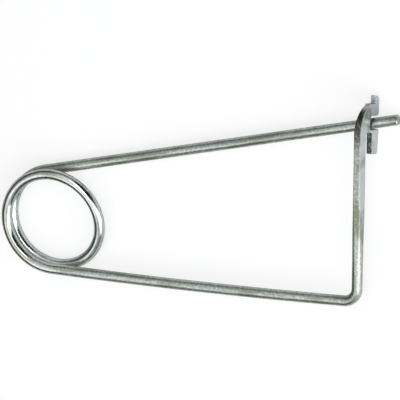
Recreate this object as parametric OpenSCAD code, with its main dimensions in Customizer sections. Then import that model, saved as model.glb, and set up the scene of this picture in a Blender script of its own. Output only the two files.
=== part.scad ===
// Coil safety pin, bent from one length of spring wire. All sizes in millimetres and degrees.
// It lies as it comes to rest on a table. The pin arm runs from the coil, at the closed end,
// along +X to its free tip. The lower arm and the leg lie over it to the side, and the latch,
// pressed flat from the end of the leg, holds the pin arm in its notch.

/* [Wire] */
// Diameter of the round spring wire
wire_d = 3.2; // [2.6:0.1:3.6]
// Chamfer on the free tip of the pin arm
tip_chamfer = 0.3; // [0.1:0.05:0.6]

/* [Coil] */
// Inner diameter of the coil
coil_inner_d = 26.2; // [22:0.1:32]
// Distance between the wire's centres from one turn to the next
coil_pitch = 4.1; // [4:0.1:5]
// Whole turns, before the last arc of a little under half a turn that runs into the pin arm
full_turns = 1; // [1:1:3]

/* [Arms] */
// Length of the pin arm from the coil to the middle of the latch
pin_reach = 109.5; // [90:0.5:130]
// Length of the tip that stands out past the middle of the latch
tip_length = 9.3; // [5:0.1:16]
// Angle at which the lower arm leaves the coil, seen from the pin arm
arm_angle = 14.5; // [12:0.1:18]
// Angle through which the loaded lower arm bows along its length
lower_bow = 2.8; // [1:0.1:4]

/* [Leg] */
// Angle between the leg and the pin arm, in plan
leg_angle = 72.5; // [68:0.5:80]
// Inner radius of the corner between the lower arm and the leg
corner_inner_r = 3; // [2:0.1:6]
// Distance below the pin arm at which the leg's round section starts to turn flat
press_from = 42; // [34:0.5:46]
// Distance below the pin arm at which it is fully flat
press_to = 16; // [12:0.5:24]
// Thickness of the flattened leg, along the pin arm
leg_t = 2.2; // [2:0.1:2.6]
// Width of the flattened leg, square to its thickness
leg_w = 4.3; // [3.6:0.1:4.6]
// How far pressing moves the leg's middle to the rear
leg_shift = 0.3; // [0:0.1:0.5]

/* [Latch] */
// Thickness of the latch plate, along the pin arm
plate_t = 1.7; // [1.3:0.1:2]
// Distance from the pin arm's centre back to the rear edge of the plate
plate_rear = 3.9; // [3.6:0.1:4.6]
// Distance from the pin arm's centre back to the front edge of the tab
tab_front = 1.6; // [1:0.1:1.8]
// Distance from the pin arm's centre forward to the front edge of the tail
tail_front = 1; // [0.8:0.1:1.3]
// Angle at which the notch and the plate's cut ends fall towards the rear
slant = 18; // [12:1:22]
// Height of the notch, square to its slant
notch_h = 4.2; // [3.9:0.1:4.6]
// Distance from the pin arm's centre to the closed end of the notch
notch_depth = 2.2; // [2:0.1:2.6]
// Clearance between the pin arm and the lower edge of the notch
notch_gap = 0.1; // [0.1:0.05:0.3]
// Height of the tab's front corner above the pin arm's centre
tab_h = 8.3; // [8:0.1:10]
// Radius of the tab's rear corner
tab_r = 1.6; // [1:0.1:1.8]
// Depth of the tail's front corner below the pin arm's centre
tail_h = 9.3; // [8:0.1:12]
// How far the tail's rear edge draws in towards its end
tail_draw = 0.9; // [0.4:0.1:1.4]
// Height of the crown's outer edge, as it falls past the pin arm's centre
crown_h = 6.4; // [6:0.1:6.8]
// Width of the wire where the crown runs into the plate
crown_w = 3.2; // [2.6:0.1:3.4]
// Distance from the pin arm's centre forward to the end of the crown's bend
crown_front = 0.8; // [0.4:0.1:1.2]
// Height of metal between the notch and the slot behind the leg, square to their slant
neck_h = 0.9; // [0.8:0.1:1.6]

/* [Hidden] */
$fn = 64;
steel = [0.66, 0.68, 0.65];

// A bead this much wider than the wire joins each run to the next
bead = 0.01;

// Plan directions and the cross product of two of them
function unit(a) = [cos(a), sin(a)];
function left(a) = [-sin(a), cos(a)];
function cross2(a, b) = a.x * b.y - a.y * b.x;

// Each half turn of the coil lies in a tilted plane of its own and its two ends run level, so
// one half turn follows smoothly on another. The last arc stops where it points along +X.
coil_r = (coil_inner_d + wire_d) / 2;
coil_tilt = asin(coil_pitch / (4 * coil_r));
last_arc = 180 - atan(tan(arm_angle) / cos(coil_tilt));
coil_start = [-cos(arm_angle), sin(arm_angle), 0];
coil_across = [sin(arm_angle) * cos(coil_tilt), cos(arm_angle) * cos(coil_tilt), -sin(coil_tilt)];

// The pin arm leaves the last arc at pin_root, and dips to the rear on its way to the latch
pin_root = coil_r * (sin(last_arc) * coil_start + (1 - cos(last_arc)) * coil_across)
    - [0, 0, full_turns * coil_pitch];
pin_dip = asin(sin(last_arc) * sin(coil_tilt));
latch_at = pin_root + pin_reach * [cos(pin_dip), 0, -sin(pin_dip)];
pin_depth = -latch_at.z;

// The lengths of the lower arm and the leg follow from where the latch is
corner_r = corner_inner_r + wire_d / 2;
corner_from = lower_bow - arm_angle;
corner_turn = leg_angle - corner_from;
lower_mid = lower_bow / 2 - arm_angle;
reach = [latch_at.x, latch_at.y] - corner_r * (left(corner_from) - left(leg_angle));
lower_chord = cross2(reach, unit(leg_angle)) / cross2(unit(lower_mid), unit(leg_angle));
leg_length = cross2(unit(lower_mid), reach) / cross2(unit(lower_mid), unit(leg_angle));
lower_bow_r = lower_chord / (2 * sin(lower_bow / 2));

// The latch is drawn as seen from the tip, with x to the rear and y up the leg, from the pin
// arm's centre. At the crown the leg turns over to the rear, until it falls at the slant.
fall = tan(slant);
leg_middle = leg_shift - pin_depth;
crown_r = (-crown_front - leg_middle) / (1 + sin(slant));
crown_end = [-crown_front, crown_h - crown_w / 2 / cos(slant) + fall * crown_front];
crown_from = crown_end.y - crown_r * cos(slant);
function on_crown(a) = [leg_middle + crown_r * (1 - cos(a)), crown_from + crown_r * sin(a)];

// Heights of the notch's lower and upper edge at x, clear of the pin arm's slanted section
pin_low = norm([wire_d / 2 / sin(leg_angle), fall * wire_d / 2]);
function notch_low(x) = -pin_low - notch_gap - fall * x;
function notch_top(x) = notch_low(x) + notch_h / cos(slant);

// A flat section of the wire: its middle, its lean, thickness, width and corner radius
function eased(s) = s * s * (3 - 2 * s);
function mix(a, b, s) = a + (b - a) * s;
round_section = [wire_d, wire_d, 0.96 * wire_d / 2];
leg_section = [leg_t, leg_w, 0.3];
crown_section = [plate_t - 0.2, crown_w, 0.3];
function press(s) = mix(round_section, leg_section, eased(s));
function thin(s) = mix(leg_section, crown_section, eased(s));

// One ring of points round a section, and all the rings up the leg
corner_steps = 5;
function ring(middle, angle, section) = [
    for (quarter = [0:3], step = [0:corner_steps])
        let (
            turn = 90 * (quarter + step / corner_steps),
            corner = 90 * quarter + 45,
            u = sign(cos(corner)) * (section[0] / 2 - section[2]) + section[2] * cos(turn),
            v = sign(sin(corner)) * (section[1] / 2 - section[2]) + section[2] * sin(turn)
        )
            [middle.x + v * cos(angle), middle.y - v * sin(angle), u]
];
leg_rings = [
    for (s = [0:1/8:1]) ring([leg_middle - leg_shift * (1 - eased(s)), -mix(press_from, press_to, s)], 0, press(s)),
    for (s = [0:1/16:1]) ring(on_crown((90 + slant) * s), (90 + slant) * s, thin(s)),
    ring(crown_end + 1.2 * [cos(slant), -sin(slant)], 90 + slant, crown_section)
];

// Walls between rings that follow one another, closed at both ends
module skin(rings) {
    around = len(rings[0]);
    last = len(rings) - 1;
    polyhedron(
        points = [for (r = rings) each r],
        faces = [
            [for (i = [0:around - 1]) i],
            [for (i = [around - 1:-1:0]) last * around + i],
            for (j = [0:last - 1], i = [0:around - 1])
                let (a = j * around + i, b = j * around + (i + 1) % around)
                    each [[a, a + around, b], [b, a + around, b + around]]
        ]
    );
}

// The plate's outline, each corner as x, y and radius. Its front side runs inside the leg.
leg_rear = leg_middle + leg_w / 2;
function roof(x) = notch_low(x) - neck_h / cos(slant);
function crown_top(x) = crown_h - fall * x;
tail_rear = plate_rear - tail_draw;
plate_outline = [
    [tab_front, tab_h, 0.2],
    [plate_rear, tab_h - fall * (plate_rear - tab_front), tab_r],
    [plate_rear, notch_top(plate_rear), 0.8],
    [-notch_depth, notch_top(-notch_depth), 1.1],
    [-notch_depth, notch_low(-notch_depth), 1.1],
    [plate_rear, notch_low(plate_rear), 0.3],
    [tail_rear, -tail_h - fall * (tail_front + tail_rear), 0.6],
    [-tail_front, -tail_h, 0.2],
    [-tail_front, roof(-tail_front), 0.8],
    [leg_rear, roof(leg_rear), 0.8],
    [leg_rear, roof(leg_rear) - 2, 0],
    [leg_middle, roof(leg_rear) - 2, 0],
    for (a = [0:15:90]) [on_crown(a).x, on_crown(a).y, 0],
    [crown_end.x, crown_top(crown_end.x) - 0.05, 0],
    [tab_front, crown_top(tab_front) - 0.05, 0.4]
];

// Rounds the corners of an outline that have a radius
function rounded(outline, steps = 6) = [
    for (i = [0:len(outline) - 1])
        let (
            here = [outline[i].x, outline[i].y],
            before = outline[(i + len(outline) - 1) % len(outline)],
            after = outline[(i + 1) % len(outline)],
            from = unit_of([before.x, before.y] - here),
            to = unit_of([after.x, after.y] - here),
            r = outline[i].z,
            half = acos(from * to) / 2,
            centre = here + unit_of(from + to) * r / sin(half),
            start = here + from * r / tan(half) - centre,
            end = here + to * r / tan(half) - centre
        )
            each r == 0 ? [here] : [
                for (s = [0:1/steps:1]) centre + r * unit_of(mix(start, end, s))
            ]
];
function unit_of(v) = v / norm(v);

// A straight run of wire along +Z. Children carry on from its end.
module straight(length) {
    cylinder(d = wire_d, h = length);
    translate([0, 0, length]) onward() children();
}

// A bend from +Z towards +X with its radius at the wire's centre. Children carry on from its end.
module bend(angle, radius) {
    translate([radius, 0, 0]) {
        rotate([90, 0, 180]) rotate_extrude(angle = angle) translate([radius, 0]) circle(d = wire_d);
        rotate([0, angle, 0]) translate([-radius, 0, 0]) onward() children();
    }
}

// The bead at the end of a run, and what follows
module onward() {
    sphere(d = wire_d + bead);
    children();
}

// Turns +Z to a plan direction, with the side that bends go to set by roll
module headed(plan_angle, roll) {
    rotate([0, 90, plan_angle]) rotate([0, 0, roll]) children();
}

// Half turns of the coil, one after another
module half_turns(count) {
    if (count > 0) bend(180, coil_r) rotate([0, 0, 2 * coil_tilt]) half_turns(count - 1) children();
    else children();
}

module pin_arm() {
    length = pin_reach + tip_length;
    edge = wire_d / 2;
    rotate_extrude() polygon([
        [0, 0], [edge, 0], [edge, length - tip_chamfer], [edge - tip_chamfer, length], [0, length]
    ]);
}

module coil_and_pin_arm() {
    headed(180 - arm_angle, coil_tilt - 90)
        half_turns(2 * full_turns)
            bend(last_arc, coil_r) pin_arm();
}

module lower_arm_and_leg() {
    sphere(d = wire_d + bead);
    headed(-arm_angle, 90)
        bend(lower_bow, lower_bow_r)
            bend(corner_turn, corner_r)
                straight(leg_length - press_from)
                    translate([0, -pin_depth, press_from]) rotate([90, 0, -90]) latch();
}

module latch() {
    skin(leg_rings);
    linear_extrude(plate_t, center = true) polygon(rounded(plate_outline));
}

// The table bears on the corner above the tail, along the plate's whole thickness, and on the
// coil where its last arc starts. The pin is tipped about the direction of that thickness.
bearing = [cross2(unit(leg_angle - 90), [latch_at.x, latch_at.y]) + notch_low(plate_rear),
    pin_depth + plate_rear - full_turns * coil_pitch];
rest_tilt = atan(bearing.y / bearing.x) - asin(wire_d / 2 / norm(bearing));

module safety_pin() color(steel)
    rotate(a = rest_tilt, v = [each unit(leg_angle - 90), 0])
        translate(-latch_at) {
            coil_and_pin_arm();
            lower_arm_and_leg();
        }

safety_pin();
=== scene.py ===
import logging
import math
from dataclasses import dataclass
from enum import Enum
from typing import Any

import bmesh
import bpy
from mathutils import Matrix, Vector


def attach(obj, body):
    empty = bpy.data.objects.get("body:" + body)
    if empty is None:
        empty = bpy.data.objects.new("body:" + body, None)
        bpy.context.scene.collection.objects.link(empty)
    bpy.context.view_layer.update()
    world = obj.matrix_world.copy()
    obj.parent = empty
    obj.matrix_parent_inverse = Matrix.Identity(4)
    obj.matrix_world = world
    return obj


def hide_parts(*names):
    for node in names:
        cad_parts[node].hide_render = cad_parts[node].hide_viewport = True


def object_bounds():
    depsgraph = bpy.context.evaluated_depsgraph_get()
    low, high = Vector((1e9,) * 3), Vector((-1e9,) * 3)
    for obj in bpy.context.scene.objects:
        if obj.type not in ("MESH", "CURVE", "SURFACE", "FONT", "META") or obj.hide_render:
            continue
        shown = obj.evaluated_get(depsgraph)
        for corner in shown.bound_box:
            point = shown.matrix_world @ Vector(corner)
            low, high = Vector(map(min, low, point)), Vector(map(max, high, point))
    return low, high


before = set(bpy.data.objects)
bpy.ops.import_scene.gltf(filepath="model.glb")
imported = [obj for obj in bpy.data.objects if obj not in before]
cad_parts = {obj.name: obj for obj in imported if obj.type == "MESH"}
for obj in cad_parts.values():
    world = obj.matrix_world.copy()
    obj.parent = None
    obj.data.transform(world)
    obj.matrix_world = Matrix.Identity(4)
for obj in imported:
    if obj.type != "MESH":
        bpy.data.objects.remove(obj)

CAD_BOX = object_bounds()
LOG = logging.getLogger("safety_pin")
MM = 0.001
WHITE = (1, 1, 1, 1)
COOL_WHITE = (0.95, 0.98, 1)
BLUE_WHITE = (0.85, 0.92, 1)

Colour = tuple[float, float, float, float]
Scale = tuple[float, float, float]
Corner = tuple[float, float, float]
Band = tuple[float, float]

# How far the plating shows the press: flat, painted shade in the recesses behind the leg, and where
# the crown ends.
FLAT = 1.0
PAINTED_SHADE = 1.7
CROWN_END = 2.0


class Surface(Enum):
    """The two kinds of surface on the wire, by their material's index."""

    DRAWN = 0
    SHEARED = 1


class Lamp(Enum):
    """The shapes of a soft light."""

    SQUARE = "SQUARE"
    STRIP = "RECTANGLE"


def turn(degrees: float, axis: str) -> Matrix:
    """Gives a turn about one axis.

    Args:
        degrees: The angle.
        axis: X, Y or Z.

    Returns:
        The turn as a 4 by 4 matrix.
    """
    return Matrix.Rotation(math.radians(degrees), 4, axis)


def plan(degrees: float) -> Vector:
    """Gives the level direction at an angle from +X."""
    return Vector((math.cos(math.radians(degrees)), math.sin(math.radians(degrees)), 0))


def eased(share: float) -> float:
    """Starts and ends a change from 0 to 1 gently."""
    return share * share * (3 - 2 * share)


class Value:
    """A socket that takes part in Python expressions."""

    def __init__(self, graph: "Graph", socket: bpy.types.NodeSocket) -> None:
        """Keeps the socket and the graph that it is in."""
        self.graph = graph
        self.socket = socket

    def _math(self, operation: str, first: "Value | float", second: "Value | float") -> "Value":
        """Adds one Math node.

        Args:
            operation: The Math node's operation.
            first: A value or a number.
            second: A value or a number.

        Returns:
            The node's result.
        """
        return self.graph.add("ShaderNodeMath", {"operation": operation}, {0: first, 1: second})

    def __add__(self, other: "Value | float") -> "Value":
        """Adds a value or a number."""
        return self._math("ADD", self, other)

    __radd__ = __add__

    def __mul__(self, other: "Value | float") -> "Value":
        """Multiplies by a value or a number."""
        return self._math("MULTIPLY", self, other)

    __rmul__ = __mul__

    def __sub__(self, other: "Value | float") -> "Value":
        """Subtracts a value or a number."""
        return self._math("SUBTRACT", self, other)

    def __rsub__(self, other: "Value | float") -> "Value":
        """Is subtracted from a number."""
        return self._math("SUBTRACT", other, self)

    def above(self, low: float, high: float) -> "Value":
        """Rises smoothly from 0 at low to 1 at high.

        Args:
            low: Where the rise starts.
            high: Where it ends.

        Returns:
            The share, from 0 to 1.
        """
        inputs = {"Value": self, "From Min": low, "From Max": high}
        return self.graph.add("ShaderNodeMapRange", {"interpolation_type": "SMOOTHSTEP"}, inputs)


class Graph:
    """A node tree that is written as expressions."""

    def __init__(self, tree: bpy.types.NodeTree) -> None:
        """Empties the tree and keeps it."""
        tree.nodes.clear()
        self.tree = tree

    def node(self, kind: str, settings: dict[str, Any], inputs: dict[Any, Any]) -> bpy.types.Node:
        """Adds any node.

        Args:
            kind: The node's type.
            settings: Its properties, which are set first.
            inputs: Values, numbers or colours by socket name or number.

        Returns:
            The node.
        """
        node = self.tree.nodes.new(kind)
        for name, setting in settings.items():
            setattr(node, name, setting)
        for name, given in inputs.items():
            if isinstance(given, Value):
                self.tree.links.new(given.socket, node.inputs[name])
            else:
                node.inputs[name].default_value = given
        return node

    def add(self, kind: str, settings: dict[str, Any], inputs: dict[Any, Any],
            output: int | str = 0) -> Value:
        """Adds any node and gives one of its outputs.

        Args:
            kind: The node's type.
            settings: Its properties, which are set first.
            inputs: Values, numbers or colours by socket name or number.
            output: The output's name or number.

        Returns:
            That output.
        """
        return Value(self, self.node(kind, settings, inputs).outputs[output])

    def colour_mix(self, share: Value, first: Value | Colour, second: Value | Colour) -> Value:
        """Mixes two colours.

        Args:
            share: How much of the second.
            first: A colour or its value.
            second: A colour or its value.

        Returns:
            The mixed colour.
        """
        inputs = {0: share, 6: first, 7: second}
        return self.add("ShaderNodeMix", {"data_type": "RGBA"}, inputs, 2)

    def kept_share(self, share: Value) -> Value:
        """Keeps a share between 0 and 1."""
        return self.add("ShaderNodeClamp", {}, {"Value": share})

    def stretched(self, vector: Value, scale: Scale) -> Value:
        """Scales a vector along each axis.

        Args:
            vector: The coordinates.
            scale: The factor along each axis.

        Returns:
            The scaled coordinates.
        """
        return self.add("ShaderNodeVectorMath", {"operation": "MULTIPLY"}, {0: vector, 1: scale})

    def noise(self, vector: Value, scale: Scale, detail: float = 2.0) -> Value:
        """Samples smooth noise.

        Args:
            vector: The coordinates.
            scale: Features per unit along each axis.
            detail: How many finer layers it has.

        Returns:
            The noise, around 0.5.
        """
        inputs = {"Vector": self.stretched(vector, scale), "Scale": 1.0, "Detail": detail}
        return self.add("ShaderNodeTexNoise", {}, inputs)

    def finish(self, shader: Value, kind: str = "ShaderNodeOutputMaterial") -> None:
        """Leads a shader to the tree's output.

        Args:
            shader: The shader.
            kind: The type of the output node.
        """
        self.node(kind, {}, {"Surface": shader})


@dataclass(frozen=True)
class PlatedFinish:
    """Zinc plating on wire, with the marks that the wire got before it. Sizes in millimetres.

    The scales are features per millimetre across, across and along the wire, and layers are how
    many finer copies a pattern has. A band is the two values between which a mark fades in: front
    is by the distance to the leg's front, wound by the place along the wire, pressed by how far
    the plating shows the press, and the others by a pattern. Besides the marks the finish carries
    painted light: a pale, cool reflection painted on the pressed metal and the coil, painted shade
    on the pressed leg's front, and deep painted shade on the crown's front and in the recesses
    behind the leg. A share is how much of its colour a mark gives. What is rough adds to the
    roughness, and what is raised to the height.
    """

    name: str
    pale: Colour = (0.66, 0.71, 0.67, 1)
    dull: Colour = (0.38, 0.42, 0.385, 1)
    stain_and_shade: Colour = (0.27, 0.28, 0.20, 1)
    cool_reflection: Colour = (0.86, 0.89, 0.93, 1)
    deep_shade: Colour = (0.05, 0.055, 0.045, 1)
    edge_tint: Colour = (0.6, 0.62, 0.6, 1)
    grain: Scale = (6.0, 6.0, 0.12)
    grain_layers: float = 3.0
    spots: float = 1.3
    spot_layers: float = 3.0
    patches: Scale = (0.35, 0.35, 0.09)
    patch_layers: float = 2.0
    scuffs: Scale = (2.6, 2.6, 0.5)
    scuff_layers: float = 4.0
    front: Band = (0.9, 1.25)
    wound_start: Band = (-127.0, -115.0)
    wound_end: Band = (-4.0, 8.0)
    pale_band: Band = (0.4, 0.58)
    patch_band: Band = (0.46, 0.66)
    scuff_band: Band = (0.62, 0.74)
    front_shade_band: Band = (0.35, 0.6)
    deep_shade_band: Band = (0.32, 0.5)
    pressed_reflection: Band = (0.2, 0.9)
    pressed_front_shade: Band = (0.05, 0.6)
    pressed_deep_shade: Band = (1.0, 1.65)
    pressed_clear: Band = (1.72, 1.92)
    pressed_reflection_share: float = 0.7
    wound_reflection_share: float = 0.25
    patch_share: float = 0.6
    front_shade_share: float = 0.5
    front_shade_spots: float = 0.35
    deep_shade_share: float = 0.5
    scuff_share: float = 0.4
    smooth: float = 0.24
    polish: float = 0.2
    rough_spots: float = 0.16
    rough_grain: float = 0.08
    rough_scuffs: float = 0.08
    depth: float = 0.45
    relief: float = 0.05
    raised_grain: float = 0.5
    raised_spots: float = 0.35
    raised_press: float = 0.8
    worn_scuffs: float = 0.2

    def material(self) -> bpy.types.Material:
        """Builds the material on the wire's own coordinates, in millimetres.

        Returns:
            The material.
        """
        material = bpy.data.materials.new(self.name)
        material.use_nodes = True
        g = Graph(material.node_tree)
        wire = g.add("ShaderNodeAttribute", {"attribute_name": "wire_space"}, {}, "Vector")
        pressed = g.add("ShaderNodeAttribute", {"attribute_name": "pressed"}, {}, "Fac")
        side = g.add("ShaderNodeSeparateXYZ", {}, {"Vector": wire}, "Y")
        along = g.add("ShaderNodeSeparateXYZ", {}, {"Vector": wire}, "Z")
        place = g.add("ShaderNodeTexCoord", {}, {}, "Object")
        grain = g.noise(wire, self.grain, self.grain_layers)
        spots = g.noise(place, (self.spots / MM,) * 3, self.spot_layers)
        patches = g.noise(wire, self.patches, self.patch_layers).above(*self.patch_band)
        scuffs = g.noise(wire, self.scuffs, self.scuff_layers).above(*self.scuff_band)
        front = side.above(*self.front)
        wound = along.above(*self.wound_start) * (1 - along.above(*self.wound_end))
        plated = g.colour_mix((0.5 * (grain + spots)).above(*self.pale_band), self.dull, self.pale)
        # Painted reflection: the pressed metal and the coil get a pale, cool tint that stands for
        # bright light mirrored there.
        reflection_share = self.pressed_reflection_share * pressed.above(*self.pressed_reflection) + self.wound_reflection_share * wound
        reflected = g.colour_mix(reflection_share, plated, self.cool_reflection)
        # Painted shade: the pressed leg's front side is darkened with the stain colour, in
        # blotches; the random patches mixed in with it are real stains.
        front_shade_blotches = self.front_shade_share + self.front_shade_spots * spots.above(*self.front_shade_band)
        front_shade = front * pressed.above(*self.pressed_front_shade) * front_shade_blotches
        stained_and_shaded = g.colour_mix(g.kept_share(self.patch_share * patches + front_shade), reflected, self.stain_and_shade)
        # Painted shade: the crown's front and the plate's walls behind the leg go almost black.
        crown = pressed.above(*self.pressed_deep_shade) * (1 - pressed.above(*self.pressed_clear))
        deep_shade_spots = self.deep_shade_share + (1 - self.deep_shade_share) * spots.above(*self.deep_shade_band)
        deep_shaded = g.colour_mix(front * crown * deep_shade_spots, stained_and_shaded, self.deep_shade)
        colour = g.colour_mix(self.scuff_share * scuffs, deep_shaded, self.pale)
        roughness = (self.smooth + self.rough_spots * spots + self.rough_grain * grain
                     + self.rough_scuffs * scuffs - self.polish * wound)
        height = (self.raised_grain * grain + self.raised_spots * spots
                  + self.raised_press * spots * pressed - self.worn_scuffs * scuffs)
        bump_inputs = {"Strength": self.depth, "Distance": self.relief * MM, "Height": height}
        bump = g.add("ShaderNodeBump", {}, bump_inputs, "Normal")
        inputs = {"Base Color": colour, "Metallic": 1.0, "Roughness": roughness, "Normal": bump,
                  "Specular Tint": self.edge_tint}
        g.finish(g.add("ShaderNodeBsdfPrincipled", {}, inputs))
        return material


@dataclass(frozen=True)
class Section:
    """A cross section of the wire, from round to flat with tight corners."""

    thickness: float
    width: float
    square: float = 2.0

    def point(self, angle: float) -> Vector:
        """Gives the point of the outline that a point of the round wire moves to.

        Args:
            angle: The round wire's angle, in radians, from the side of its width.

        Returns:
            The point, in the section's plane.
        """
        across, along = math.cos(angle), math.sin(angle)
        power = 2 / self.square
        return Vector((
            math.copysign(abs(across) ** power, across) * self.width / 2,
            math.copysign(abs(along) ** power, along) * self.thickness / 2,
            0,
        ))

    def towards(self, other: "Section", share: float) -> "Section":
        """Gives the section part of the way to another.

        Args:
            other: The other section.
            share: The share of the way, from 0 to 1.

        Returns:
            The section between them.
        """
        return Section(
            self.thickness + (other.thickness - self.thickness) * share,
            self.width + (other.width - self.width) * share,
            self.square * (other.square / self.square) ** share,
        )


def marked_mesh() -> tuple[bmesh.types.BMesh, bmesh.types.BMLayerItem, bmesh.types.BMLayerItem]:
    """Starts a mesh whose vertices know their place on the straight wire and how pressed they are,
    which also places painted shade.

    Returns:
        The mesh and its two layers.
    """
    mesh = bmesh.new()
    layers = mesh.verts.layers
    layers.float_vector.new("wire_space")
    layers.float.new("pressed")
    return mesh, layers.float_vector["wire_space"], layers.float["pressed"]


def join(mesh: bmesh.types.BMesh, part: bmesh.types.BMesh, place: Matrix) -> None:
    """Adds one mesh to another and frees it.

    Args:
        mesh: The mesh that grows.
        part: The mesh that is added.
        place: Where it goes.
    """
    bmesh.ops.transform(part, matrix=place, verts=part.verts)
    draft = bpy.data.meshes.new("draft")
    part.to_mesh(draft)
    part.free()
    mesh.from_mesh(draft)
    bpy.data.meshes.remove(draft)


@dataclass
class WireRun:
    """Wire that grows ring by ring from a start, along its own +Z, and bends to its own +X."""

    mesh: bmesh.types.BMesh
    place: Matrix
    radius: float
    sense: int = 1
    segments: int = 64
    along: float = 0.0
    rolled: float = 0.0

    def __post_init__(self) -> None:
        """Makes the first ring and gives each vertex its place on the straight wire."""
        self.space = self.mesh.verts.layers.float_vector["wire_space"]
        self.pressed = self.mesh.verts.layers.float["pressed"]
        made = bmesh.ops.create_circle(self.mesh, segments=self.segments, radius=self.radius)
        for vert in made["verts"]:
            vert[self.space] = Vector((vert.co.x, self.sense * vert.co.y, 0))
        bmesh.ops.transform(self.mesh, matrix=self.place, verts=made["verts"])
        self.rim = list({edge for vert in made["verts"] for edge in vert.link_edges})

    def grow(self, move: Matrix, length: float, section: Section | None = None,
             pressed: float = 0.0) -> None:
        """Extrudes the rim and moves it.

        Args:
            move: The motion of the wire's open end, in its own axes.
            length: The length of wire that this adds.
            section: The section that the new rim is pressed to.
            pressed: How far the plating there shows the press, as above; its higher values lay
                painted shade.
        """
        made = bmesh.ops.extrude_edge_only(self.mesh, edges=self.rim)["geom"]
        verts = [item for item in made if isinstance(item, bmesh.types.BMVert)]
        new = set(verts)
        self.rim = [e for e in made if isinstance(e, bmesh.types.BMEdge) and set(e.verts) <= new]
        motion = self.place @ move @ self.place.inverted()
        bmesh.ops.transform(self.mesh, matrix=motion, verts=verts)
        self.place = self.place @ move
        self.along += length
        for vert in verts:
            x, y, _ = vert[self.space]
            vert[self.space] = Vector((x, y, self.sense * self.along))
            vert[self.pressed] = pressed
            if section:
                angle = math.atan2(self.sense * y, x) - math.radians(self.rolled)
                vert.co = self.place @ section.point(angle)

    def roll(self, degrees: float) -> None:
        """Turns the side that bends go to, without turning the wire."""
        self.place = self.place @ turn(degrees, "Z")
        self.rolled += degrees

    def straight(self, length: float) -> None:
        """Adds a straight run."""
        self.grow(Matrix.Translation((0, 0, length)), length)

    def bend(self, degrees: float, radius: float, step: float = 3.0) -> None:
        """Adds a bend.

        Args:
            degrees: Its angle.
            radius: Its radius at the wire's centre.
            step: The largest angle between two rings.
        """
        count = max(2, math.ceil(degrees / step))
        for _ in range(count):
            self.grow(self.arc(degrees / count, radius), math.radians(degrees / count) * radius)

    @staticmethod
    def arc(degrees: float, radius: float) -> Matrix:
        """Gives the motion of one step round a bend.

        Args:
            degrees: The step's angle.
            radius: The bend's radius at the wire's centre.

        Returns:
            The motion in the wire's own axes.
        """
        out = Matrix.Translation((radius, 0, 0))
        return out @ turn(degrees, "Y") @ out.inverted()

    def close(self, surface: Surface) -> None:
        """Closes the open end.

        Args:
            surface: The surface that the new face has.
        """
        made = bmesh.ops.edgeloop_fill(self.mesh, edges=self.rim)
        for face in made["faces"]:
            face.material_index = surface.value


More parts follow.
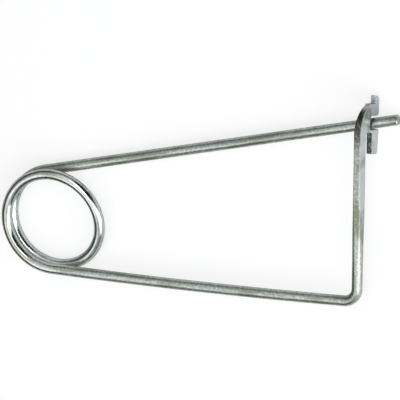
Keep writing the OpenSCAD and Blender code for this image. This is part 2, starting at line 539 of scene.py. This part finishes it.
@dataclass(frozen=True)
class LatchPlate:
    """The flat end of the leg, with a tab, a notch that holds the pin arm, and a tail.

    Its own axes have x to the rear, y up the leg and z to the pin arm's tip, from the pin arm's
    centre. overlap is how far it reaches into the leg, bury how far it stays under the crown's
    top, and dark_rear and dark_top bound the walls that get painted shade, at the tail's front
    and in the notch, in the leg's shadow.
    """

    thickness: float = 1.7
    rear: float = 3.9
    tab_front: float = 1.6
    tail_front: float = 1.0
    slant: float = 18.0
    notch_height: float = 4.2
    notch_depth: float = 2.2
    notch_gap: float = 0.1
    tab_height: float = 8.3
    tail_height: float = 9.3
    tail_draw: float = 0.9
    crown_height: float = 6.4
    neck: float = 0.9
    overlap: float = 2.0
    bury: float = 0.05
    tab_radius: float = 1.6
    tab_foot_radius: float = 0.4
    beak_radius: float = 0.8
    notch_radius: float = 1.1
    lip_radius: float = 0.3
    tail_radius: float = 0.6
    roof_radius: float = 0.8
    armpit_radius: float = 0.7
    blanked_radius: float = 0.2
    worn_edge: float = 0.16
    dark_rear: float = 0.5
    dark_top: float = 3.4

    @property
    def fall(self) -> float:
        """Gives the slant as a slope."""
        return math.tan(math.radians(self.slant))

    def notch_low(self, x: float, arm_radius: float, lean: float) -> float:
        """Gives the height of the notch's lower edge.

        Args:
            x: The distance behind the pin arm's centre.
            arm_radius: The pin arm's radius.
            lean: The sine of the angle between the leg and the pin arm.

        Returns:
            The height above the pin arm's centre.
        """
        half_wire = math.hypot(arm_radius / lean, self.fall * arm_radius)
        return -half_wire - self.notch_gap - self.fall * x

    def outline(self, arm_radius: float, lean: float, leg_middle: float, leg_rear: float,
                crown: list[Vector]) -> list[Corner]:
        """Lists the plate's corners, each with its radius.

        Args:
            arm_radius: The pin arm's radius.
            lean: The sine of the angle between the leg and the pin arm.
            leg_middle: Where the leg's middle is.
            leg_rear: Where its rear edge is.
            crown: Points of the crown's middle line, inside the wire.

        Returns:
            The corners as x, y and radius.
        """
        s = self
        upright = math.cos(math.radians(s.slant))
        raised, roof_drop = s.notch_height / upright, s.neck / upright

        def low(x: float) -> float:
            """Gives the notch's lower edge at x."""
            return s.notch_low(x, arm_radius, lean)

        def top(x: float) -> float:
            """Gives the crown's top at x."""
            return s.crown_height - s.fall * x - s.bury

        tail_rear = s.rear - s.tail_draw
        return [
            (s.tab_front, s.tab_height, s.blanked_radius),
            (s.rear, s.tab_height - s.fall * (s.rear - s.tab_front), s.tab_radius),
            (s.rear, low(s.rear) + raised, s.beak_radius),
            (-s.notch_depth, low(-s.notch_depth) + raised, s.notch_radius),
            (-s.notch_depth, low(-s.notch_depth), s.notch_radius),
            (s.rear, low(s.rear), s.lip_radius),
            (tail_rear, -s.tail_height - s.fall * (s.tail_front + tail_rear), s.tail_radius),
            (-s.tail_front, -s.tail_height, s.blanked_radius),
            (-s.tail_front, low(-s.tail_front) - roof_drop, s.roof_radius),
            (leg_rear, low(leg_rear) - roof_drop, s.armpit_radius),
            (leg_rear, low(leg_rear) - roof_drop - s.overlap, 0),
            (leg_middle, low(leg_rear) - roof_drop - s.overlap, 0),
            *[(point.x, point.y, 0) for point in crown],
            (crown[-1].x, top(crown[-1].x), 0),
            (s.tab_front, top(s.tab_front), s.tab_foot_radius),
        ]

    def build(self, corners: list[Corner], along: float) -> bmesh.types.BMesh:
        """Blanks the plate from its outline and wears its edges round.

        Args:
            corners: The outline's corners, each with its radius.
            along: The leg's length, from which the marks along the wire go on.

        Returns:
            The plate in its own axes.
        """
        mesh, space, pressed = marked_mesh()
        sketch = [mesh.verts.new((x, y, -self.thickness / 2)) for x, y, _ in corners]
        mesh.faces.new(sketch)
        for vert, (_, _, radius) in zip(sketch, corners):
            if radius:
                bmesh.ops.bevel(mesh, geom=[vert], offset=self.setback(vert, radius),
                                offset_type="OFFSET", segments=7, profile=0.5, affect="VERTICES",
                                material=-1)
        flat = mesh.faces[:]
        raised = bmesh.ops.extrude_face_region(mesh, geom=flat, use_keep_orig=True)["geom"]
        flat += [item for item in raised if isinstance(item, bmesh.types.BMFace)]
        top = [item for item in raised if isinstance(item, bmesh.types.BMVert)]
        bmesh.ops.translate(mesh, vec=(0, 0, self.thickness), verts=top)
        for wall in set(mesh.faces) - set(flat):
            wall.material_index = Surface.SHEARED.value
        rims = list({edge for face in flat for edge in face.edges})
        bmesh.ops.bevel(mesh, geom=rims, offset=self.worn_edge, offset_type="OFFSET", segments=3,
                        profile=0.5, affect="EDGES", clamp_overlap=True, material=-1)
        for vert in mesh.verts:
            x, y, z = vert.co
            vert[space] = Vector((x, z, along + y))
            # Painted shade: walls near the leg, at the tail's front and in the notch, get the dark
            # value.
            vert[pressed] = PAINTED_SHADE if x < self.dark_rear and y < self.dark_top else FLAT
        return mesh

    @staticmethod
    def setback(vert: bmesh.types.BMVert, radius: float) -> float:
        """Gives how far from a corner its rounding starts.

        Args:
            vert: The corner.
            radius: The radius that it gets.

        Returns:
            The distance along its two edges.
        """
        ends = [(edge.other_vert(vert).co - vert.co).normalized() for edge in vert.link_edges]
        return radius / math.tan(ends[0].angle(ends[1]) / 2)


@dataclass
class SafetyPin:
    """One wire with a coil, two arms and a leg that ends in the latch. Sizes in millimetres.

    skin is how much thinner the wire is than its solid, crown_root how far the crown's end goes
    on into the latch plate, and crown_start how far the plating shows the press where it bends,
    which sets how dark the painted shade on the leg's top and the crown's front is there.
    """

    wire: float = 3.2
    skin: float = 0.008
    chamfer: float = 0.3
    coil_inner: float = 26.2
    pitch: float = 4.1
    full_turns: int = 1
    pin_reach: float = 109.5
    tip: float = 9.3
    arm_angle: float = 14.5
    bow: float = 2.8
    leg_angle: float = 72.5
    corner_inner: float = 3.0
    press_from: float = 42.0
    press_to: float = 16.0
    leg: Section = Section(2.2, 4.3, 9.0)
    leg_shift: float = 0.3
    crown: Section = Section(1.5, 3.2, 5.0)
    crown_front: float = 0.8
    crown_root: float = 1.2
    crown_start: float = 1.5
    latch: LatchPlate = LatchPlate()
    merge: float = 0.002
    sharp_angle: float = 40.0

    def __post_init__(self) -> None:
        """Works out the sizes that follow from the others, and where the latch is."""
        self.coil_r = (self.coil_inner + self.wire) / 2
        self.tilt = math.degrees(math.asin(self.pitch / (4 * self.coil_r)))
        tilt, arm = math.radians(self.tilt), math.radians(self.arm_angle)
        last = math.pi - math.atan(math.tan(arm) / math.cos(tilt))
        self.last_arc = math.degrees(last)
        start = Vector((-math.cos(arm), math.sin(arm), 0))
        level = math.cos(tilt)
        over = Vector((math.sin(arm) * level, math.cos(arm) * level, -math.sin(tilt)))
        root = self.coil_r * (math.sin(last) * start + (1 - math.cos(last)) * over)
        root.z -= self.full_turns * self.pitch
        dip = math.asin(math.sin(last) * math.sin(tilt))
        self.latch_at = root + self.pin_reach * Vector((math.cos(dip), 0, -math.sin(dip)))
        self.depth = -self.latch_at.z
        self.lean = math.sin(math.radians(self.leg_angle))
        self.middle = self.leg_shift - self.depth
        latch, slant = self.latch, math.radians(self.latch.slant)
        self.crown_r = (-self.crown_front - self.middle) / (1 + math.sin(slant))
        upright = math.cos(slant)
        top = latch.crown_height + latch.fall * self.crown_front
        self.crown_from = top - self.crown.width / 2 / upright - self.crown_r * upright

    def coil_and_pin_arm(self, mesh: bmesh.types.BMesh) -> None:
        """Winds the coil back from the lower arm and runs the pin arm out to its tip.

        Args:
            mesh: The mesh that they join.
        """
        place = turn(180 - self.arm_angle, "Z") @ turn(90, "Y") @ turn(-90, "Z")
        run = WireRun(mesh, place, self.wire / 2 - self.skin, sense=-1)
        run.roll(self.tilt)
        for _ in range(2 * self.full_turns):
            run.bend(180, self.coil_r)
            run.roll(2 * self.tilt)
        run.bend(self.last_arc, self.coil_r)
        run.straight(self.pin_reach + self.tip - self.chamfer)
        shrink = Matrix.Diagonal((1 - 2 * self.chamfer / self.wire,) * 2 + (1, 1))
        run.grow(Matrix.Translation((0, 0, self.chamfer)) @ shrink, self.chamfer)
        run.close(Surface.SHEARED)

    def lower_arm_and_leg(self, mesh: bmesh.types.BMesh) -> tuple[Matrix, float]:
        """Runs the lower arm out, turns it up into the leg, presses it flat and bends the crown.

        Args:
            mesh: The mesh that they join.

        Returns:
            The latch's place, and the leg's length up to it.
        """
        corner_r = self.corner_inner + self.wire / 2
        heading = self.bow - self.arm_angle
        mid, leg = plan(self.bow / 2 - self.arm_angle), plan(self.leg_angle)
        flat = Vector((self.latch_at.x, self.latch_at.y, 0))
        reach = flat - corner_r * (plan(heading + 90) - plan(self.leg_angle + 90))
        chord = reach.cross(leg).z / mid.cross(leg).z
        leg_length = mid.cross(reach).z / mid.cross(leg).z
        start = turn(-self.arm_angle, "Z") @ turn(90, "Y") @ turn(90, "Z")
        run = WireRun(mesh, start, self.wire / 2 - self.skin)
        run.bend(self.bow, chord / (2 * math.sin(math.radians(self.bow) / 2)), step=0.2)
        run.bend(self.leg_angle - heading, corner_r)
        run.straight(leg_length - self.press_from)
        to_latch = Matrix.Translation((0, -self.depth, self.press_from))
        latch = run.place @ to_latch @ turn(-90, "Z") @ turn(90, "X")
        self.press_leg(run)
        self.bend_crown(run)
        run.close(Surface.DRAWN)
        return latch, leg_length

    def press_leg(self, run: WireRun, rings: int = 14) -> None:
        """Presses the top of the leg flat, with its middle a little to the rear.

        Args:
            run: The wire at the start of the pressed length.
            rings: How many rings the change takes.
        """
        run.roll(-90)
        round_wire = Section(self.wire, self.wire)
        step = (self.press_from - self.press_to) / rings
        for ring in range(rings):
            share, before = eased((ring + 1) / rings), eased(ring / rings)
            move = Matrix.Translation((self.leg_shift * (share - before), 0, step))
            run.grow(move, step, round_wire.towards(self.leg, share), share * FLAT)
        rise = self.press_to + self.crown_from
        halfway = (FLAT + self.crown_start) / 2
        # The last rings ramp into the values that lay painted shade on the leg's top and the
        # crown's front.
        for shown, share in ((FLAT, 0.45), (halfway, 0.3), (self.crown_start, 0.25)):
            run.grow(Matrix.Translation((0, 0, rise * share)), rise * share, self.leg, shown)

    def bend_crown(self, run: WireRun, rings: int = 32) -> None:
        """Bends the leg's top over to the rear, until it falls at the latch's slant.

        Args:
            run: The wire at the start of the crown.
            rings: How many rings the bend takes.
        """
        angle = (90 + self.latch.slant) / rings
        length = math.radians(angle) * self.crown_r
        for ring in range(rings):
            share = eased((ring + 1) / rings)
            section = self.leg.towards(self.crown, share)
            # shown carries the painted shade on the crown's front in, and out again by the crown's
            # end.
            shown = self.crown_start + (CROWN_END - self.crown_start) * share
            run.grow(WireRun.arc(angle, self.crown_r), length, section, shown)
        into_plate = Matrix.Translation((0, 0, self.crown_root))
        run.grow(into_plate, self.crown_root, self.crown, CROWN_END)

    def crown_line(self, step: int = 15) -> list[Vector]:
        """Gives points of the crown's middle line, in the latch's own axes.

        Args:
            step: The degrees between two points.

        Returns:
            The points, up to the crown's top.
        """
        centre = Vector((self.middle + self.crown_r, self.crown_from, 0))
        arm = Vector((self.crown_r, 0, 0))
        return [centre - turn(-degrees, "Z") @ arm for degrees in range(0, 91, step)]

    def rest(self) -> Matrix:
        """Gives the place in which the pin lies on its table.

        It rests on the rear corner of the notch's lip and on the coil.

        Returns:
            The move from the wire's own millimetres to the shared frame in metres.
        """
        across = plan(self.leg_angle - 90)
        low = self.latch.notch_low(self.latch.rear, self.wire / 2, self.lean)
        height = self.depth + self.latch.rear - self.full_turns * self.pitch
        bearing = Vector((across.cross(self.latch_at).z + low, height))
        tip = math.atan2(bearing.y, bearing.x) - math.asin(self.wire / 2 / bearing.length)
        tipped = Matrix.Scale(MM, 4) @ Matrix.Rotation(tip, 4, across)
        return tipped @ Matrix.Translation(-self.latch_at)

    def build(self, finishes: list[PlatedFinish]) -> bpy.types.Object:
        """Builds the pin as one piece, dresses it and puts it in place of the plain solid.

        Args:
            finishes: The finishes, in the order of Surface.

        Returns:
            The piece.
        """
        mesh, _, _ = marked_mesh()
        self.coil_and_pin_arm(mesh)
        place, leg_length = self.lower_arm_and_leg(mesh)
        bmesh.ops.remove_doubles(mesh, verts=mesh.verts, dist=self.merge)
        leg_rear = self.middle + self.leg.width / 2
        crown = self.crown_line()
        corners = self.latch.outline(self.wire / 2, self.lean, self.middle, leg_rear, crown)
        join(mesh, self.latch.build(corners, leg_length), place)
        bmesh.ops.recalc_face_normals(mesh, faces=mesh.faces)
        bmesh.ops.transform(mesh, matrix=self.rest(), verts=mesh.verts)
        for face in mesh.faces:
            face.smooth = True
        data = bpy.data.meshes.new("formed_wire")
        mesh.to_mesh(data)
        mesh.free()
        data.set_sharp_from_angle(angle=math.radians(self.sharp_angle))
        for finish in finishes:
            data.materials.append(finish.material())
        piece = bpy.data.objects.new("formed_wire", data)
        bpy.context.scene.collection.objects.link(piece)
        levelled = piece.modifiers.new("level_flats", "WEIGHTED_NORMAL")
        levelled.keep_sharp = True
        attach(piece, "root")
        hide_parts("safety_pin")
        LOG.info("formed wire: %d faces", len(data.polygons))
        return piece


@dataclass(frozen=True)
class SoftLight:
    """A plain soft lamp that looks at the pin."""

    name: str
    towards: tuple[float, float, float]
    distance: float
    size: tuple[float, float]
    power: float
    shape: Lamp = Lamp.SQUARE
    colour: tuple[float, float, float] = (1, 1, 1)

    def hang(self, centre: Vector) -> None:
        """Hangs the lamp.

        Args:
            centre: The point that it looks at.
        """
        lamp = bpy.data.lights.new(self.name, "AREA")
        lamp.shape = self.shape.value
        lamp.size = self.size[0]
        if self.shape is Lamp.STRIP:
            lamp.size_y = self.size[1]
        lamp.energy = self.power
        lamp.color = self.colour
        holder = bpy.data.objects.new(self.name, lamp)
        direction = Vector(self.towards).normalized()
        holder.location = centre + direction * self.distance
        holder.rotation_euler = direction.to_track_quat("Z", "Y").to_euler()
        bpy.context.scene.collection.objects.link(holder)
        LOG.info("lamp %s", self.name)


@dataclass
class Studio:
    """A white table under soft light, with a dim surround that draws the wire's edges.

    glow is how much of the table's own white the camera sees, and mirrored_glow how much metal
    shows of it. A dark screen stands beyond the latch end and gives the coil its black streaks.
    """

    floor_width: float = 3.0
    floor_white: float = 0.75
    floor_glow: float = 1.2
    glow: float = 0.6
    mirrored_glow: float = 0.05
    sky: float = 0.95
    horizon: float = 0.06
    brightest: tuple[float, float, float] = (0.25, 0.08, 1.0)
    dawn: tuple[float, float] = (0.22, 1.0)
    screen: tuple[float, float, float] = (0.88, 0.2, 0.4)
    screen_edge: tuple[float, float] = (0.72, 0.84)
    screen_depth: float = 0.97
    lights: tuple[SoftLight, ...] = (
        SoftLight("key", (0.72, -0.5, 0.5), 0.8, (0.7, 0.7), 3.2),
        SoftLight("fill", (-0.5, -0.3, 0.8), 0.9, (0.5, 0.5), 0.65),
        SoftLight("overhead", (0.3, 0.03, 0.95), 0.9, (0.9, 0.24), 2.3, Lamp.STRIP, COOL_WHITE),
        SoftLight("side", (0.85, -0.5, 0.2), 0.8, (0.12, 0.3), 0.35, Lamp.STRIP, BLUE_WHITE),
    )

    def floor(self, low: float, centre: Vector) -> bpy.types.Object:
        """Lays the table.

        Args:
            low: Its height.
            centre: The middle of the pin.

        Returns:
            The table.
        """
        mesh = bmesh.new()
        bmesh.ops.create_grid(mesh, x_segments=2, y_segments=2, size=self.floor_width / 2)
        bmesh.ops.translate(mesh, vec=(centre.x, centre.y, low), verts=mesh.verts)
        data = bpy.data.meshes.new("table")
        mesh.to_mesh(data)
        mesh.free()
        table = bpy.data.objects.new("table", data)
        bpy.context.scene.collection.objects.link(table)
        material = bpy.data.materials.new("white_table")
        material.use_nodes = True
        g = Graph(material.node_tree)
        matt = g.add("ShaderNodeBsdfDiffuse", {}, {"Color": (self.floor_white,) * 3 + (1,)})
        white = g.add("ShaderNodeEmission", {}, {"Color": WHITE, "Strength": self.floor_glow})
        g.finish(g.add("ShaderNodeMixShader", {}, {0: self.seen(g), 1: matt, 2: white}))
        data.materials.append(material)
        LOG.info("table at %.4f m", low)
        return table

    def seen(self, g: Graph) -> Value:
        """Gives how much of the table's own white shows, straight to the camera and in metal.

        Args:
            g: The table's graph.

        Returns:
            The share of its own white.
        """
        path = g.node("ShaderNodeLightPath", {}, {})
        names = ("Is Camera Ray", "Is Glossy Ray", "Is Transmission Ray")
        straight, metal, glass = (Value(g, path.outputs[name]) for name in names)
        return g.kept_share(self.glow * (straight + glass) + self.mirrored_glow * metal)

    @staticmethod
    def facing(g: Graph, direction: Value, towards: tuple[float, float, float]) -> Value:
        """Gives how closely a direction points one way.

        Args:
            g: The graph.
            direction: The direction.
            towards: The way that it is measured against.

        Returns:
            The cosine of the angle between them.
        """
        inputs = {0: direction, 1: Vector(towards).normalized()}
        return g.add("ShaderNodeVectorMath", {"operation": "DOT_PRODUCT"}, inputs, "Value")

    def surround(self) -> None:
        """Sets the sky: bright overhead, dim at the horizon, and white to the camera."""
        world = bpy.data.worlds.new("studio")
        world.use_nodes = True
        bpy.context.scene.world = world
        g = Graph(world.node_tree)
        direction = g.add("ShaderNodeTexCoord", {}, {}, "Generated")
        height = self.facing(g, direction, self.brightest).above(*self.dawn)
        screened = self.facing(g, direction, self.screen).above(*self.screen_edge)
        open_sky = self.horizon + height * (self.sky - self.horizon)
        lit = open_sky * (1 - self.screen_depth * screened)
        straight = g.add("ShaderNodeLightPath", {}, {}, "Is Camera Ray")
        strength = lit + straight * (1 - lit)
        background = g.add("ShaderNodeBackground", {}, {"Color": WHITE, "Strength": strength})
        g.finish(background, "ShaderNodeOutputWorld")

    def build(self, low: float, centre: Vector) -> None:
        """Sets up the table, the sky and the lamps.

        Args:
            low: The table's height.
            centre: The middle of the pin.
        """
        self.floor(low, centre)
        self.surround()
        for light in self.lights:
            light.hang(centre)
        bpy.context.scene.view_settings.view_transform = "Standard"


@dataclass(frozen=True)
class Viewpoint:
    """The long lens that looks down on the pin.

    The target and the sensor are in millimetres. The distance, the width that the lens takes in
    there and the furthest that it sees are in metres.
    """

    target: tuple[float, float, float] = (-69.451, -18.545, -17.062)
    azimuth: float = 109.817
    elevation: float = 61.334
    roll: float = -120.462
    distance: float = 4.5
    width: float = 0.118911
    sensor: float = 36.0
    sight: float = 40.0

    def place(self) -> bpy.types.Object:
        """Makes the camera.

        Returns:
            The camera.
        """
        a, e, r = (math.radians(v) for v in (self.azimuth, self.elevation, self.roll))
        back = Vector((math.sin(a) * math.cos(e), -math.cos(a) * math.cos(e), math.sin(e)))
        level = Vector((math.cos(a), math.sin(a), 0))
        upright = back.cross(level)
        right = level * math.cos(r) + upright * math.sin(r)
        up = back.cross(right)
        camera = bpy.data.cameras.new("camera")
        camera.sensor_width = self.sensor
        camera.lens = self.sensor * self.distance / self.width
        camera.clip_end = self.sight
        holder = bpy.data.objects.new("camera", camera)
        axes = Matrix((right, up, back)).transposed().to_4x4()
        spot = Vector(self.target) * MM + back * self.distance
        holder.matrix_world = Matrix.Translation(spot) @ axes
        bpy.context.scene.collection.objects.link(holder)
        bpy.context.scene.camera = holder
        LOG.info("camera at azimuth %.1f, elevation %.1f", self.azimuth, self.elevation)
        return holder


def main() -> None:
    """Builds the camera, the pin and its studio in order."""
    logging.basicConfig(level=logging.INFO, format="%(name)s: %(message)s")
    Viewpoint().place()
    drawn = PlatedFinish("zinc_on_drawn_wire")
    # On the sheared walls the front mask is always full, so the painted front shade and the deep
    # painted shade reach every wall that the pressed mark calls for.
    sheared = PlatedFinish(
        "zinc_on_sheared_edge",
        pale=(0.52, 0.55, 0.54, 1),
        dull=(0.30, 0.32, 0.32, 1),
        stain_and_shade=(0.46, 0.47, 0.48, 1),
        deep_shade=(0.08, 0.09, 0.10, 1),
        grain=(1.0, 12.0, 1.0),
        front=(-9.0, -8.0),
        smooth=0.34,
        depth=0.8,
    )
    SafetyPin().build([drawn, sheared])
    low, high = (Vector(corner) for corner in CAD_BOX)
    Studio().build(low.z, (low + high) / 2)


if __name__ == "__main__":
    main()
